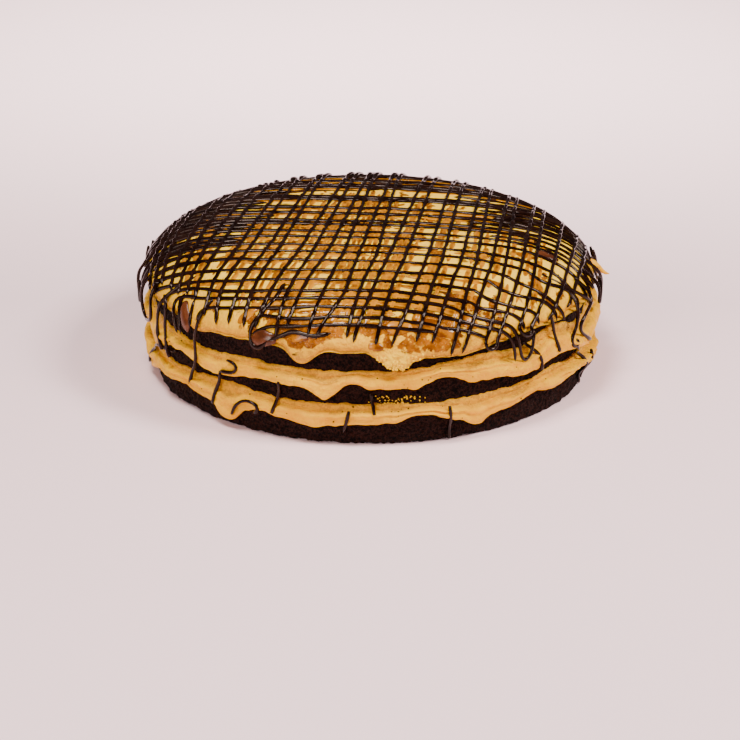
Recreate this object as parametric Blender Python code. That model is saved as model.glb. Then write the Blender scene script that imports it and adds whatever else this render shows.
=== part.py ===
"""Salted caramel chocolate cake: three dark sponges, two layers of caramel buttercream between them,
and a thick domed coat of the same cream on top. Dark chocolate is piped over the dome in pairs of
long lines across pairs of short ones, runs over the rim and drips down the side.

Metres, +Z up. The origin is the centre of the cake's flat base. The front is -Y.
Angles are in degrees round the cake: 0 is +X, -90 is the front.
"""

import math
import random

import bmesh
import bpy
import numpy as np
from mathutils import Vector

MM = 0.001
GAP = 0.3 * MM

# The round body: every layer is a loft of rings with this many points.
SEGMENTS = 64
SPONGE_RADIUS = 129.5 * MM
SPONGE_EDGE = 1.2 * MM
CREAM_PROUD = 5.2 * MM

# Where sponge and cream meet inside: height on the axis, and the rise for each metre towards +X.
BOTTOM_CREAM_FLOOR = (19.2 * MM, 0.012)
MIDDLE_CREAM_FLOOR = (39.6 * MM, 0.018)
CREAM_THICKNESS = 2.5 * MM
TOP_CREAM_FLOOR = 58.2 * MM
TOP_SPONGE_CROWN = ((0.84, 9.5 * MM), (0.56, 14.5 * MM))

# The dome of cream on top: height of its crown and of its widest ring, and how square its shoulder is.
DOME_CENTRE = Vector((-1.0 * MM, 1.2 * MM, 0))
DOME_RADIUS = 137.2 * MM
CROWN_HEIGHT = 85.3 * MM
RIM_HEIGHT = 42.0 * MM
SHOULDER_POWER = 5.2
SHOULDER_ROUND = 2.5

# The edges of the cream at the side: a height, then each droop or rise as (angle, mm, half width).
BOTTOM_CREAM_LOW = (13.5 * MM, ((-167, -7, 12), (-143, 2, 6), (-127, -8.5, 6), (-117, 2.5, 5),
                                (-103, -3, 9), (-77, 5.5, 9), (-63, -5, 6), (-46, 4.5, 8), (-30, 6, 14)))
BOTTOM_CREAM_HIGH = (24.6 * MM, ((-150, -1.5, 10), (-128, 2.2, 16), (-38, 2.6, 14)))
MIDDLE_CREAM_LOW = (34.5 * MM, ((-160, -8, 13), (-131, -4.5, 13), (-101, -6.5, 5), (-94, 3.6, 4),
                                (-72, 5.8, 8), (-49, -3.5, 10), (-25, -3, 9)))
MIDDLE_CREAM_HIGH = (44.2 * MM, ((-136, -2.2, 16), (-62, 4.4, 26), (-38, 8, 13), (0, 3, 75)))
TOP_CREAM_LOW = (56.2 * MM, ((-138, -3.5, 8), (-106.5, -8, 6), (-84, -8.2, 8), (-70, -4.5, 20),
                             (-47, 1, 7)))
BACK_LOBES = 8
BACK_SPAN = (5, 175)
BACK_DROOP = (-4, 1)
BACK_RISE = (-0.2, 2.5)

# The piped lattice: pairs of long lines that lean to the right going back, over pairs of cross lines.
LONG_PAIRS, LONG_PITCH, LONG_GAP, LONG_LEAN = 16, 19.3 * MM, 8.2 * MM, 10
CROSS_PAIRS, CROSS_PITCH, CROSS_GAP, CROSS_LEAN = 13, 22.8 * MM, 8.6 * MM, 3
PIPING_SHAKE = 1.3 * MM
PIPING_TURN = 0.7
LINE_WIDTH = 2.3 * MM
LINE_HEIGHT = 1.5 * MM
LATTICE_FOOT = 60 * MM
LATTICE_FOOT_SHAKE = 1.0 * MM
LAST_CELL = 4.5 * MM
LATTICE_DEPTH = 2.7 * MM
BODY_DEPTH = 1.5 * MM

# Chocolate that runs down: thickness of a drip, and how far its centre stands from the surface.
DRIP_RADIUS = 1.05 * MM
DRIP_STAND = 0.25 * MM
DRIP_CLEAR = 1.9 * MM

# Routes of the drips down the front, each on the layer that it lies on, as (angle, mm up) points.
RIM_DRIPS = (
    ((-176, 60), (-178, 47), (-181, 44), (-183.5, 49), (-183, 62)),
    ((-163, 66), (-165, 53), (-167, 50), (-169, 53), (-168.5, 66)),
    ((-151, 68), (-152.5, 55), (-153.5, 49)),
    ((-144.5, 70), (-143.4, 61), (-143.4, 51)),
    ((-136, 63), (-136.4, 50)),
    ((-62.6, 60), (-61.9, 51.5), (-60.6, 48.8), (-59.4, 51.5), (-58.8, 60)),
    ((-54, 60), (-54.2, 46)),
    ((-52.6, 60), (-52.2, 48), (-51, 45), (-49.9, 48), (-49.4, 60)),
    ((-48, 60), (-47, 50), (-45, 40)),
    ((-40, 61), (-39, 50), (-38, 41)),
    ((-32.5, 70), (-31, 60), (-33, 50), (-34, 42)),
)
BACK_LOOPS = 6
MIDDLE_CREAM_DRIPS = (
    ((-155.5, 41), (-156, 37), (-154, 32)),
    ((-149.5, 41), (-150.5, 34)),
    ((-136.7, 39.5), (-137, 34.5)),
    ((-127, 39.5), (-124, 38.5), (-123.2, 36.5), (-124.4, 34.5), (-128, 33.5)),
    ((-27, 50), (-24, 43), (-22, 36)),
)
BOTTOM_CREAM_DRIPS = (
    ((-162.5, 12), (-160.5, 20)),
    ((-139, 22), (-139.8, 17.5)),
    ((-128.6, 24), (-130, 15)),
    ((-124, 12), (-123, 18), (-121, 22), (-119, 22.8), (-117.3, 20.5), (-118, 18)),
    ((-112.5, 22.5), (-114, 16.5)),
    ((-95, 22), (-95.6, 15)),
    ((-71, 22.5), (-70.6, 16)),
)
MIDDLE_SPONGE_DRIPS = (
    ((-137.6, 30.5), (-138.8, 25)),
    ((-112, 32), (-112.6, 26.5)),
    ((-90, 33), (-89.3, 26)),
)
BOTTOM_SPONGE_DRIPS = (
    ((-96.2, 12), (-96.5, 8.5)),
    ((-70.4, 12), (-70.1, 6.5), (-70, 1.3)),
)

# The wisp of cream that stands out of the rim on the right.
SPIKE_ROOT = (131 * MM, -2 * MM, 59.5 * MM)
SPIKE_TIP = (143.2 * MM, -2 * MM, 55 * MM)
SPIKE_RADIUS = 3 * MM

SPONGE_COLOUR = (0.016, 0.0075, 0.0055)
CREAM_COLOUR = (0.74, 0.43, 0.15)

part = bpy.data.collections.new("salted_caramel_chocolate_cake")
joining = bpy.data.collections.new("joining")


def material(name, colour, roughness):
    made = bpy.data.materials.new(name)
    made.use_nodes = True
    shader = made.node_tree.nodes["Principled BSDF"]
    shader.inputs["Base Color"].default_value = (*colour, 1)
    shader.inputs["Roughness"].default_value = roughness
    shader.inputs["Metallic"].default_value = 0
    return made


def unevenness(seed, waves, size):
    """A closed wavering line round the cake, as a function of the angle."""
    draw = random.Random(seed)
    terms = [(count, draw.uniform(0, math.tau), draw.uniform(0.4, 1)) for count in waves]
    most = sum(weight for _, _, weight in terms)

    def waver(angle):
        turn = math.radians(angle)
        return size * sum(w * math.sin(n * turn + start) for n, start, w in terms) / most

    return waver


def swell(angle, centre, half_width):
    """1 at the centre, falling smoothly to 0 at half a width to either side."""
    away = abs((angle - centre + 180) % 360 - 180) / half_width
    return math.cos(away * math.pi / 2) ** 2 if away < 1 else 0.0


def cream_edge(shape, back_range, seed):
    """Height of a cream edge: its own lobes on the front, drawn ones on the back, small waves all round."""
    height, front = shape
    draw = random.Random(seed)
    first, last = BACK_SPAN
    back = []
    for k in range(BACK_LOBES):
        at = first + (last - first) * k / (BACK_LOBES - 1)
        back.append((at, draw.uniform(*back_range), draw.uniform(6, 13)))
    waver = unevenness(seed, (7, 11, 17, 23), 0.6 * MM)

    def edge(angle):
        lobes = sum(rise * swell(angle, at, width) for at, rise, width in (*front, *back))
        return height + lobes * MM + waver(angle)

    return edge


sponge_waver = unevenness(3, (2, 3, 5, 9, 14), 1.2 * MM)
bottom_cream_waver = unevenness(5, (3, 7, 13, 19), 1.3 * MM)
middle_cream_waver = unevenness(6, (3, 8, 12, 17), 1.3 * MM)


def sponge_radius(angle):
    return SPONGE_RADIUS + sponge_waver(angle)


def bottom_cream_proud(angle):
    return CREAM_PROUD + bottom_cream_waver(angle) + 1.5 * MM * swell(angle, -15, 40)


def middle_cream_proud(angle):
    return CREAM_PROUD + middle_cream_waver(angle) + 3.0 * MM * swell(angle, -15, 45)


bottom_low = cream_edge(BOTTOM_CREAM_LOW, BACK_DROOP, 21)
bottom_high = cream_edge(BOTTOM_CREAM_HIGH, BACK_RISE, 22)
middle_low = cream_edge(MIDDLE_CREAM_LOW, BACK_DROOP, 23)
middle_high = cream_edge(MIDDLE_CREAM_HIGH, BACK_RISE, 24)
top_low = cream_edge(TOP_CREAM_LOW, BACK_DROOP, 25)


def around(radius, height):
    """A ring of points. Radius and height are numbers or functions of the angle."""
    ring = []
    for k in range(SEGMENTS):
        angle = 360 * k / SEGMENTS
        r = radius(angle) if callable(radius) else radius
        z = height(angle) if callable(height) else height
        turn = math.radians(angle)
        ring.append(Vector((r * math.cos(turn), r * math.sin(turn), z)))
    return ring


def loft(name, rings):
    """A closed body through rings of points, from its underside up the outside to its top."""
    bm = bmesh.new()
    loops = [[bm.verts.new(point) for point in ring] for ring in rings]
    bm.faces.new(reversed(loops[0]))
    for lower, upper in zip(loops, loops[1:]):
        for k in range(SEGMENTS):
            after = (k + 1) % SEGMENTS
            bm.faces.new((lower[k], lower[after], upper[after], upper[k]))
    bm.faces.new(loops[-1])
    mesh = bpy.data.meshes.new(name)
    bm.to_mesh(mesh)
    bm.free()
    made = bpy.data.objects.new(name, mesh)
    joining.objects.link(made)
    return made


def plane(level, lift=0.0):
    """Height at the sponge's side of a face inside the cake that may lean towards +X."""
    height, rise = level

    def at(angle):
        return height + lift + rise * sponge_radius(angle) * math.cos(math.radians(angle))

    return at


def sponge(floor, ceiling, crown=()):
    """A sponge: broken lower edge, upright side, and a flat or crowned top."""
    rings = [
        around(lambda a: sponge_radius(a) - SPONGE_EDGE, floor),
        around(sponge_radius, lambda a: (floor(a) if callable(floor) else floor) + SPONGE_EDGE),
        around(sponge_radius, ceiling),
    ]
    rings += [around(lambda a, f=share: f * sponge_radius(a), ceiling + rise) for share, rise in crown]
    return loft("sponge", rings)


def squeezed_cream(floor, ceiling, low, high, proud):
    """Cream pressed out past the sponges: a skirt over the lower one, a lip up the side of the upper."""

    def out(share):
        return lambda a: sponge_radius(a) + GAP + share * proud(a)

    def between(share):
        return lambda a: low(a) + share * (high(a) - low(a))

    rings = [
        around(out(0), floor),
        around(out(0), lambda a: low(a) + 0.8 * MM),
        around(out(0.45), low),
        around(out(0.95), between(0.22)),
        around(out(1), between(0.55)),
        around(out(0.75), between(0.88)),
        around(out(0.3), high),
        around(out(0), ceiling),
    ]
    return loft("cream", rings)


# The dome as a turned profile, measured along the surface from the crown, so that piping keeps its length.
share = np.concatenate([np.linspace(0, 0.9, 60), np.linspace(0.9, 1, 240)[1:]])
profile_r = DOME_RADIUS * share
profile_z = RIM_HEIGHT + (CROWN_HEIGHT - RIM_HEIGHT) * (1 - share**SHOULDER_POWER) ** (1 / SHOULDER_ROUND)
profile_s = np.concatenate([[0], np.cumsum(np.hypot(np.diff(profile_r), np.diff(profile_z)))])
slope_r, slope_z = np.gradient(profile_r, profile_s), np.gradient(profile_z, profile_s)


def on_dome(flat, lift):
    """The point that a flat sheet's point reaches when the sheet is laid over the dome, lifted off it."""
    far = flat.length
    s = min(far, profile_s[-1])
    r, z = np.interp(s, profile_s, profile_r), np.interp(s, profile_s, profile_z)
    dr, dz = np.interp(s, profile_s, slope_r), np.interp(s, profile_s, slope_z)
    way = Vector((flat.x, flat.y, 0)) / far if far else Vector((1, 0, 0))
    height = z + lift * dr - (far - s)
    return DOME_CENTRE + way * (r - lift * dz) + Vector((0, 0, height))


def dome_ring(far, lift):
    """A ring on the dome, at a distance along the surface from the crown."""
    points = []
    for k in range(SEGMENTS):
        turn = math.tau * k / SEGMENTS
        points.append(on_dome(Vector((far * math.cos(turn), far * math.sin(turn), 0)), lift))
    return points


def piped_lines(pairs, pitch, gap, lean, seed):
    """Offset from the centre and lean of each line, piped to and fro in pairs by hand."""
    draw = random.Random(seed)
    lines = []
    for k in range(pairs):
        middle = (k - (pairs - 1) / 2) * pitch + draw.uniform(-PIPING_SHAKE, PIPING_SHAKE)
        apart = gap * draw.uniform(0.85, 1.15)
        for side in (-0.5, 0.5):
            turn = math.radians(lean + draw.uniform(-PIPING_TURN, PIPING_TURN))
            lines.append((middle + side * apart, turn))
    return lines


def crossing(long_line, cross_line):
    """Where a long line meets a cross line, on the flat sheet."""
    c, lean = long_line
    e, slope = cross_line
    spread = math.cos(lean) * math.cos(slope) + math.sin(lean) * math.sin(slope)
    x = (c * math.cos(slope) + e * math.sin(lean)) / spread
    y = (e * math.cos(lean) - c * math.sin(slope)) / spread
    return Vector((x, y, 0))


def lattice():
    """The piped lines and the cream between them: a sheet whose cells are sunk below its edges."""
    long_lines = piped_lines(LONG_PAIRS, LONG_PITCH, LONG_GAP, LONG_LEAN, 11)
    cross_lines = piped_lines(CROSS_PAIRS, CROSS_PITCH, CROSS_GAP, CROSS_LEAN, 12)
    columns, rows = len(long_lines) - 1, len(cross_lines) - 1
    bm = bmesh.new()
    bmesh.ops.create_grid(bm, x_segments=columns, y_segments=rows, size=1)
    for vert in bm.verts:
        i = round((vert.co.x + 1) / 2 * columns)
        j = round((vert.co.y + 1) / 2 * rows)
        vert.co = crossing(long_lines[i], cross_lines[j])
    # The sheet ends on the shoulder: cells that cross its foot are drawn in to it, and those past it go.
    foot = np.interp(-LATTICE_FOOT, -profile_z, profile_s)
    past = {vert for vert in bm.verts if vert.co.length > foot - LAST_CELL}
    gone = [face for face in bm.faces if sum(vert in past for vert in face.verts) > 2]
    draw = random.Random(13)
    for vert in bm.verts:
        if vert in past:
            vert.co *= (foot + draw.uniform(-LATTICE_FOOT_SHAKE, LATTICE_FOOT_SHAKE)) / vert.co.length
    bmesh.ops.delete(bm, geom=gone, context="FACES")
    upper = set(bm.verts)
    bmesh.ops.extrude_face_region(bm, geom=bm.faces[:], use_keep_orig=True)
    cells = [face for face in bm.faces if all(vert in upper for vert in face.verts)]
    for vert in bm.verts:
        vert.co = on_dome(vert.co, LINE_HEIGHT if vert in upper else -LATTICE_DEPTH)
    bmesh.ops.recalc_face_normals(bm, faces=bm.faces[:])
    bmesh.ops.inset_individual(bm, faces=cells, thickness=LINE_WIDTH / 2, depth=-LINE_HEIGHT)
    mesh = bpy.data.meshes.new("lattice")
    bm.to_mesh(mesh)
    bm.free()
    made = bpy.data.objects.new("lattice", mesh)
    joining.objects.link(made)
    return made


def tube(name, points, radius=DRIP_RADIUS):
    """A thread of chocolate through points, as a mesh with closed ends."""
    curve = bpy.data.curves.new(name, "CURVE")
    curve.dimensions = "3D"
    curve.bevel_depth = radius
    curve.bevel_resolution = 1
    curve.use_fill_caps = True
    spline = curve.splines.new("POLY")
    spline.points.add(len(points) - 1)
    for slot, point in zip(spline.points, points):
        slot.co = (*point, 1)
    guide = bpy.data.objects.new(name, curve)
    joining.objects.link(guide)
    bpy.context.view_layer.update()
    mesh = bpy.data.meshes.new_from_object(guide.evaluated_get(bpy.context.evaluated_depsgraph_get()))
    bpy.data.objects.remove(guide)
    bm = bmesh.new()
    bm.from_mesh(mesh)
    bmesh.ops.remove_doubles(bm, verts=bm.verts[:], dist=0.01 * MM)
    bm.to_mesh(mesh)
    bm.free()
    made = bpy.data.objects.new(name, mesh)
    joining.objects.link(made)
    return made


def drip(route, surface):
    """A drip through (angle, mm up) points on a surface whose radius is a function of angle and height."""
    points = []
    for angle, height in route:
        r = surface(angle, height * MM) + DRIP_STAND
        turn = math.radians(angle)
        points.append(Vector((r * math.cos(turn), r * math.sin(turn), height * MM)))
    return tube("drip", points)


def back_loops():
    """Routes of the loops that hang over the rim at the back, where the piping turned."""
    draw = random.Random(31)
    first, last = BACK_SPAN
    for k in range(BACK_LOOPS):
        at = first + (last - first) * (k + draw.uniform(0.2, 0.8)) / BACK_LOOPS
        half = draw.uniform(1.2, 2.2)
        low = draw.uniform(45, 52)
        down_and_up = ((-1, 60), (-0.8, low + 4), (0, low), (0.8, low + 4), (1, 60))
        yield tuple((at + share * half, height) for share, height in down_and_up)


def join(name, pieces, finish):
    """The first piece with the others joined to it, as one closed body in the part."""
    body, *others = pieces
    fused = bpy.data.collections.new(name)
    for other in others:
        fused.objects.link(other)
    if others:
        union = body.modifiers.new("union", "BOOLEAN")
        union.operand_type = "COLLECTION"
        union.collection = fused
        union.operation = "UNION"
        union.solver = "MANIFOLD"
    bpy.context.view_layer.update()
    mesh = bpy.data.meshes.new_from_object(body.evaluated_get(bpy.context.evaluated_depsgraph_get()))
    for piece in pieces:
        bpy.data.objects.remove(piece)
    bpy.data.collections.remove(fused)
    mesh.materials.clear()
    mesh.materials.append(finish)
    made = bpy.data.objects.new(name, mesh)
    part.objects.link(made)
    return made


def cream_side(low, high, proud):
    """Radius of a squeezed layer's outside at an angle and height."""

    def surface(angle, height):
        up = (height - low(angle)) / (high(angle) - low(angle))
        share = np.interp(up, (0, 0.22, 0.55, 0.88, 1), (0.45, 0.95, 1, 0.75, 0.3))
        return sponge_radius(angle) + GAP + share * proud(angle)

    return surface


def sponge_side(angle, height):
    return sponge_radius(angle)


def rim_side(angle, height):
    """Radius of the dome at a height on its shoulder or below."""
    r = np.interp(-height, -profile_z, profile_r)
    return r + DOME_CENTRE.x * math.cos(math.radians(angle)) + DOME_CENTRE.y * math.sin(math.radians(angle))


def hanging_side(angle, height):
    """Where a thread over the rim hangs: on the skirt, then straight down clear of the cream below."""
    if height > top_low(angle) + 1.5 * MM:
        return rim_side(angle, height)
    return max(rim_side(angle, height), sponge_radius(angle) + middle_cream_proud(angle) + DRIP_CLEAR)


def top_cream():
    """The coat of cream over the crowned sponge: a drooping skirt at the side and the dome above it."""
    rings = [around(lambda a, f=share: f * sponge_radius(a), TOP_CREAM_FLOOR + rise + GAP)
             for share, rise in reversed(TOP_SPONGE_CROWN)]

    def out(inset):
        return lambda a: rim_side(a, RIM_HEIGHT) - inset

    rings += [
        around(lambda a: sponge_radius(a) + GAP, TOP_CREAM_FLOOR + GAP),
        around(lambda a: sponge_radius(a) + GAP, lambda a: top_low(a) + 0.8 * MM),
        around(out(4.2 * MM), top_low),
        around(out(1.2 * MM), lambda a: top_low(a) + 1.6 * MM),
        around(out(0.8 * MM), lambda a: top_low(a) + 4.2 * MM),
    ]
    rings += [dome_ring(far * MM, -BODY_DEPTH) for far in (139.5, 132, 122, 105, 80)]
    return loft("coat", rings)


def cream_spike():
    """The wisp that the spatula pulled out of the rim on the right."""
    tip, root = Vector(SPIKE_TIP), Vector(SPIKE_ROOT)
    bm = bmesh.new()
    length, end = (tip - root).length, SPIKE_RADIUS / 10
    bmesh.ops.create_cone(bm, cap_ends=True, segments=6, radius1=SPIKE_RADIUS, radius2=end, depth=length)
    mesh = bpy.data.meshes.new("spike")
    bm.to_mesh(mesh)
    bm.free()
    made = bpy.data.objects.new("spike", mesh)
    made.location = (tip + root) / 2
    made.rotation_euler = (tip - root).to_track_quat("Z", "Y").to_euler()
    joining.objects.link(made)
    return made


for obj in list(bpy.data.objects):
    bpy.data.objects.remove(obj)
for collection in (part, joining):
    bpy.context.scene.collection.children.link(collection)
joining.hide_render = True

sponge_finish = material("chocolate_sponge", SPONGE_COLOUR, 0.95)
cream_finish = material("caramel_cream", CREAM_COLOUR, 0.45)

over_bottom_cream = plane(BOTTOM_CREAM_FLOOR, CREAM_THICKNESS)
over_middle_cream = plane(MIDDLE_CREAM_FLOOR, CREAM_THICKNESS)
sponges = {
    "sponge_bottom": (sponge(0, plane(BOTTOM_CREAM_FLOOR)), BOTTOM_SPONGE_DRIPS),
    "sponge_middle": (sponge(over_bottom_cream, plane(MIDDLE_CREAM_FLOOR)), MIDDLE_SPONGE_DRIPS),
    "sponge_top": (sponge(over_middle_cream, TOP_CREAM_FLOOR, TOP_SPONGE_CROWN), ()),
}
for name, (plain, drips) in sponges.items():
    join(name, [plain, *(drip(route, sponge_side) for route in drips)], sponge_finish)

for name, level, low, high, proud, drips in (
    ("cream_bottom", BOTTOM_CREAM_FLOOR, bottom_low, bottom_high, bottom_cream_proud, BOTTOM_CREAM_DRIPS),
    ("cream_middle", MIDDLE_CREAM_FLOOR, middle_low, middle_high, middle_cream_proud, MIDDLE_CREAM_DRIPS),
):
    plain = squeezed_cream(plane(level, GAP), plane(level, CREAM_THICKNESS - GAP), low, high, proud)
    side = cream_side(low, high, proud)
    join(name, [plain, *(drip(route, side) for route in drips)], cream_finish)

threads = [drip(route, hanging_side) for route in (*RIM_DRIPS, *back_loops())]
join("cream_top", [top_cream(), lattice(), cream_spike(), *threads], cream_finish)
bpy.data.collections.remove(joining)
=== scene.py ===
import math
import random

import bpy
import numpy as np
from mathutils import Matrix, Vector, noise


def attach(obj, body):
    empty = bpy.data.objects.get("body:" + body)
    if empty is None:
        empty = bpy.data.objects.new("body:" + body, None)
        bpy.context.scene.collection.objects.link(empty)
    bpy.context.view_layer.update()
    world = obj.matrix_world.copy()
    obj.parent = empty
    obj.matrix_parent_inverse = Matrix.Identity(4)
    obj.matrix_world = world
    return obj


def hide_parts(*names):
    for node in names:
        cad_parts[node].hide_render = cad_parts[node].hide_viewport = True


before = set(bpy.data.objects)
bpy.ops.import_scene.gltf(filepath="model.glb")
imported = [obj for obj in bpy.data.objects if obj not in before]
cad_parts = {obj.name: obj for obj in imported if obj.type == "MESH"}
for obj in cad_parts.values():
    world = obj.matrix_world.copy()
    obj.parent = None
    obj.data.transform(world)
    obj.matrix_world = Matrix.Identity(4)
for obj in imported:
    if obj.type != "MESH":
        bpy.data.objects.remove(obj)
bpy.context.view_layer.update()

# The studio: a pale floor under the cake, a large soft light high on the right, weaker ones above and on
# the left, one turned away from the cake to brighten the floor behind it, and the camera, looking down.
MM = 0.001
CAMERA_HEIGHT_ANGLE = math.radians(22.895)
CAMERA_ROLL = math.radians(-0.367)
CAMERA_DISTANCE = 1.3
CAMERA_LENS = 103.06
LOOK_AT = Vector((-0.2, 0, -9.5)) * MM
FLOOR_SIZE, FLOOR_COLOUR = 14, (0.98, 0.71, 0.77)
ROOM_COLOUR, ROOM_STRENGTH = (1.0, 0.78, 0.78), 0.09
LIGHT_COLOUR = (1.0, 0.95, 0.88)
# Each light: its place and what it points at, in metres, how wide it is, and its power in watts.
LIGHTS = (
    ("key_light", (0.95, -0.35, 1.15), (0, 0, 0.05), 0.42, 30),
    ("top_light", (-0.3, -0.35, 1.4), (0, 0, 0.05), 0.4, 24),
    ("fill_light", (-0.75, -1.35, 0.75), (0, 0, 0.05), 0.7, 16),
    ("floor_light", (0, 0.6, 0.9), (0, 2.2, 0), 0.8, 42),
)

bpy.ops.object.select_all(action="DESELECT")
bpy.ops.mesh.primitive_plane_add(size=FLOOR_SIZE)
floor = bpy.context.object
floor.name = "floor"
floor_finish = bpy.data.materials.new("pale_floor")
floor_finish.use_nodes = True
floor_shader = floor_finish.node_tree.nodes["Principled BSDF"]
floor_shader.inputs["Base Color"].default_value = (*FLOOR_COLOUR, 1)
floor_shader.inputs["Roughness"].default_value = 0.7
floor.data.materials.append(floor_finish)

world = bpy.data.worlds.new("studio")
bpy.context.scene.world = world
world.use_nodes = True
room = world.node_tree.nodes["Background"].inputs
room["Color"].default_value, room["Strength"].default_value = (*ROOM_COLOUR, 1), ROOM_STRENGTH

for name, place, aim, size, power in LIGHTS:
    bpy.ops.object.light_add(type="AREA", location=place)
    light = bpy.context.object
    light.name = name
    light.data.size = size
    light.data.energy = power
    light.data.color = LIGHT_COLOUR
    light.rotation_euler = (Vector(aim) - Vector(place)).to_track_quat("-Z", "Y").to_euler()

back = Vector((0, -math.cos(CAMERA_HEIGHT_ANGLE), math.sin(CAMERA_HEIGHT_ANGLE)))
level_up = Vector((0, math.sin(CAMERA_HEIGHT_ANGLE), math.cos(CAMERA_HEIGHT_ANGLE)))
level_right = Vector((1, 0, 0))
right = level_right * math.cos(CAMERA_ROLL) - level_up * math.sin(CAMERA_ROLL)
up = level_right * math.sin(CAMERA_ROLL) + level_up * math.cos(CAMERA_ROLL)
bpy.ops.object.camera_add()
camera = bpy.context.object
facing = Matrix((right, up, back)).transposed().to_4x4()
camera.matrix_world = Matrix.Translation(LOOK_AT + back * CAMERA_DISTANCE) @ facing
camera.data.sensor_width = 36
camera.data.lens = CAMERA_LENS
camera.data.clip_start = 0.05
bpy.context.scene.camera = camera

# The three sponges: dark chocolate cake, baked flat and trimmed, with an open crumb at the side.
# Each is a sheet rolled into a ring round the cake, closed at its ends and roughened like crumb.
SPONGE_RADIUS = 129.5 * MM
BOTTOM_CREAM_FLOOR = (19.2 * MM, 0.012)
MIDDLE_CREAM_FLOOR = (39.6 * MM, 0.018)
CREAM_THICKNESS = 2.5 * MM
TOP_CREAM_FLOOR = 58.2 * MM
TOP_SPONGE_CROWN = 9.5 * MM
# The crumb runs from near black to paler reddish flecks; the pale flecks are partly the crumb's own colour,
# partly painted glints.
CRUMB_DARK, CRUMB_FLECK_AND_GLINT = (0.0010, 0.0002, 0.0001), (0.020, 0.0040, 0.0017)


def unevenness(seed, waves, size):
    """A closed wavering line round the cake, as a function of the angle in degrees."""
    draw = random.Random(seed)
    terms = [(count, draw.uniform(0, math.tau), draw.uniform(0.4, 1)) for count in waves]
    most = sum(weight for _, _, weight in terms)

    def waver(angle):
        turn = np.radians(angle)
        return size * sum(w * np.sin(n * turn + start) for n, start, w in terms) / most

    return waver


sponge_waver = unevenness(3, (2, 3, 5, 9, 14), 1.2 * MM)


def sponge_radius(angle):
    return SPONGE_RADIUS + sponge_waver(angle)


def plane(level, lift=0.0):
    """Height of a face inside the cake that may lean towards +X, as a function of the angle."""
    height, rise = level
    return lambda angle: height + lift + rise * sponge_radius(angle) * np.cos(np.radians(angle))


def noted(piece, label, values):
    """Keeps a value from 0 to 1 at each point of a piece, for its material to read."""
    store = piece.data.attributes.new(label, "FLOAT", "POINT")
    store.data.foreach_set("value", np.asarray(values, np.float32))


def corners_of(piece):
    flat = np.empty(len(piece.data.vertices) * 3)
    piece.data.vertices.foreach_get("co", flat)
    return flat.reshape(-1, 3)


def sealed(merge=0.0, holes=False):
    """Merges points of the active piece that meet, turns its faces outwards and shades it smooth."""
    bpy.ops.object.mode_set(mode="EDIT")
    bpy.ops.mesh.select_all(action="SELECT")
    if merge:
        bpy.ops.mesh.remove_doubles(threshold=merge)
    if holes:
        bpy.ops.mesh.fill_holes(sides=0)
        bpy.ops.mesh.select_all(action="SELECT")
    bpy.ops.mesh.normals_make_consistent(inside=False)
    bpy.ops.object.mode_set(mode="OBJECT")
    bpy.ops.object.shade_smooth()


def rolled(name, columns, rows, place):
    """A sheet rolled into a ring and closed: place gives x, y, z for each angle and each row from 0 to 1."""
    bpy.ops.object.select_all(action="DESELECT")
    bpy.ops.mesh.primitive_grid_add(x_subdivisions=columns, y_subdivisions=rows, size=2)
    made = bpy.context.object
    made.name = made.data.name = name
    across, along, _ = corners_of(made).T
    points = place((across + 1) * 180, (along + 1) / 2)
    made.data.vertices.foreach_set("co", np.stack(points, 1).ravel())
    noted(made, "thin", np.abs(np.cos((across + 1) * math.pi)) ** 4)
    sealed(0.004 * MM, holes=True)
    return made


def roughened(piece, size, depth, group=""):
    """Pushes the surface in and out by a cloudy pattern of a size and depth in metres."""
    pattern = bpy.data.textures.new(f"{piece.name}_clouds", "CLOUDS")
    pattern.noise_scale, pattern.noise_depth = size, 2
    push = piece.modifiers.new("push", "DISPLACE")
    push.texture, push.strength, push.mid_level = pattern, depth, 0.5
    push.texture_coords = "LOCAL"
    push.vertex_group = group
    bpy.context.view_layer.objects.active = piece
    bpy.ops.object.modifier_apply(modifier="push")


def add(tree, kind, **values):
    """A node in a material or group, with values or links for its inputs by name, and its own settings."""
    made = tree.nodes.new(kind)
    for key, value in values.items():
        if key.startswith("set_"):
            setattr(made, key[4:], value)
            continue
        label = key.replace("_", " ")
        socket = made.inputs[label if label in made.inputs else int(key[1:])]
        if isinstance(value, bpy.types.NodeSocket):
            tree.links.new(value, socket)
        else:
            socket.default_value = value
    return made


def worked(tree, operation, *values, clamp=False):
    """A sum in a material or group, from values or links."""
    named = {f"_{k}": value for k, value in enumerate(values)}
    return add(tree, "ShaderNodeMath", set_operation=operation, set_use_clamp=clamp, **named).outputs[0]


def new_group(name, inputs, outputs):
    """A shader group with named inputs and outputs, all numbers but those named Colour."""
    group = bpy.data.node_groups.new(name, "ShaderNodeTree")
    for way, labels in (("INPUT", inputs), ("OUTPUT", outputs)):
        for label in labels:
            kind = "NodeSocketColor" if label == "Colour" else "NodeSocketFloat"
            group.interface.new_socket(name=label, in_out=way, socket_type=kind)
    return group, group.nodes.new("NodeGroupInput").outputs, group.nodes.new("NodeGroupOutput")


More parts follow.
